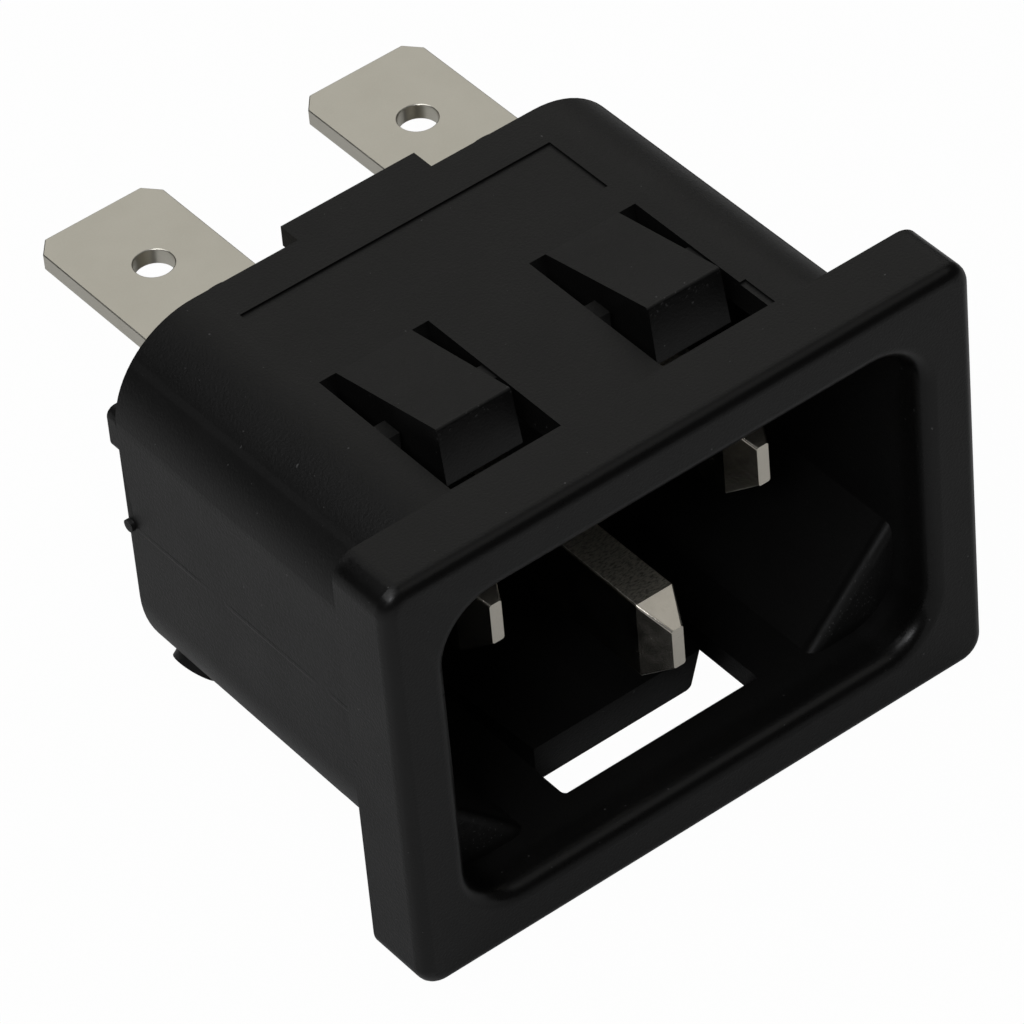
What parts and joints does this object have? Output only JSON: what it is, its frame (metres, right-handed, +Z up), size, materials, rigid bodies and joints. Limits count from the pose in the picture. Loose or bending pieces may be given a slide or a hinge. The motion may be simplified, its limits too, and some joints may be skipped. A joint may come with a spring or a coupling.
{
  "type": "c14 panel inlet socket",
  "caption": "Snap-in power inlet: flanged black socket with a keyed cavity round flat contact pins, latches above and below, and quick-connect tabs at the rear.",
  "frame": {"origin": "middle of the panel opening, on the flange's rear face, which lies on the panel's front", "axes": "+X to the right seen from the front, +Y to the rear through the panel, +Z up, towards the line and neutral pins"},
  "size_m": [0.0302, 0.0314, 0.022],
  "materials": {
    "black_plastic": "fine moulded texture, soft gloss on the rounded edges",
    "nickel_pins": "nickel plated, smooth wide faces and grainy sheared edges",
    "tinned_tabs": "satin tin plate with a faint speckle"
  },
  "bodies": {
    "root": {"housing": "black_plastic", "line_pin": "nickel_pins", "neutral_pin": "nickel_pins", "earth_pin": "nickel_pins", "line_tab": "tinned_tabs", "neutral_tab": "tinned_tabs", "earth_tab": "tinned_tabs"}
  },
  "joints": []
}
